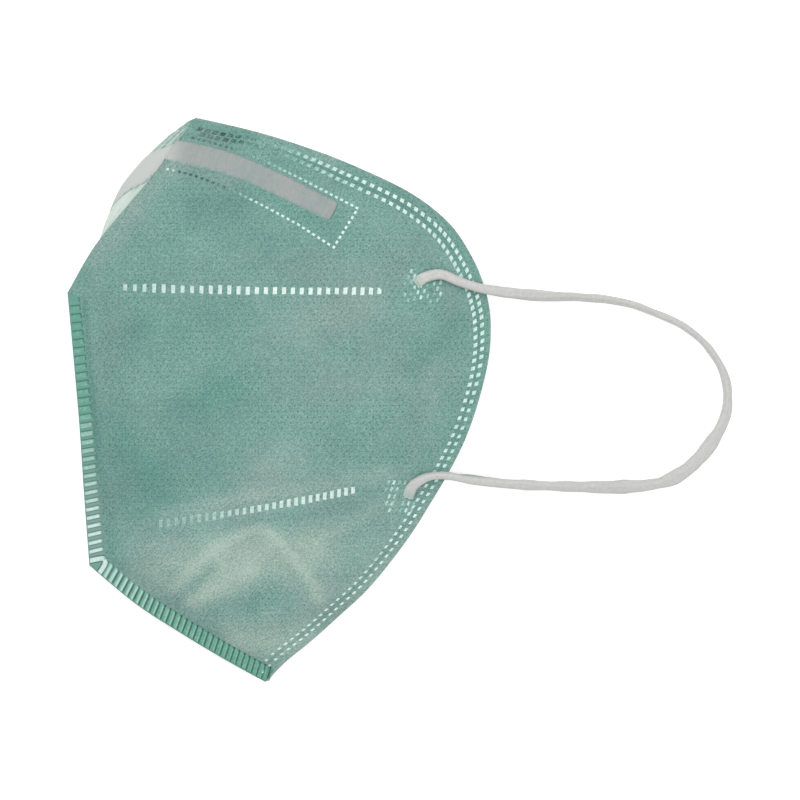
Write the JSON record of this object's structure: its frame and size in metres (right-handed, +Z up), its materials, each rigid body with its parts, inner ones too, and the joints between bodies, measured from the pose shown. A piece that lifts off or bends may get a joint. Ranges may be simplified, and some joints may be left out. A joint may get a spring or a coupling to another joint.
{
  "type": "disposable folding respirator",
  "caption": "Flat-fold fabric respirator with a welded front seam, a nose wire and elastic ear loops, lying half folded.",
  "frame": {"origin": "bottom centre of the facepiece's box, on the surface that it lies on", "axes": "+Z up off the surface that it lies on; +Y towards the top of the wearer's head, along the folded height; -X the way the wearer looks, from the face edge to the front seam"},
  "size_m": [0.1817, 0.1532, 0.0276],
  "materials": {
    "fabric": "matt layered non-woven, light green",
    "wire": "grey strip under the outer layer",
    "elastic": "knitted white elastic"
  },
  "bodies": {
    "root": {"facepiece": "fabric", "nose_wire": "wire", "ear_loop_left": "elastic", "ear_loop_right": "elastic"}
  },
  "joints": []
}
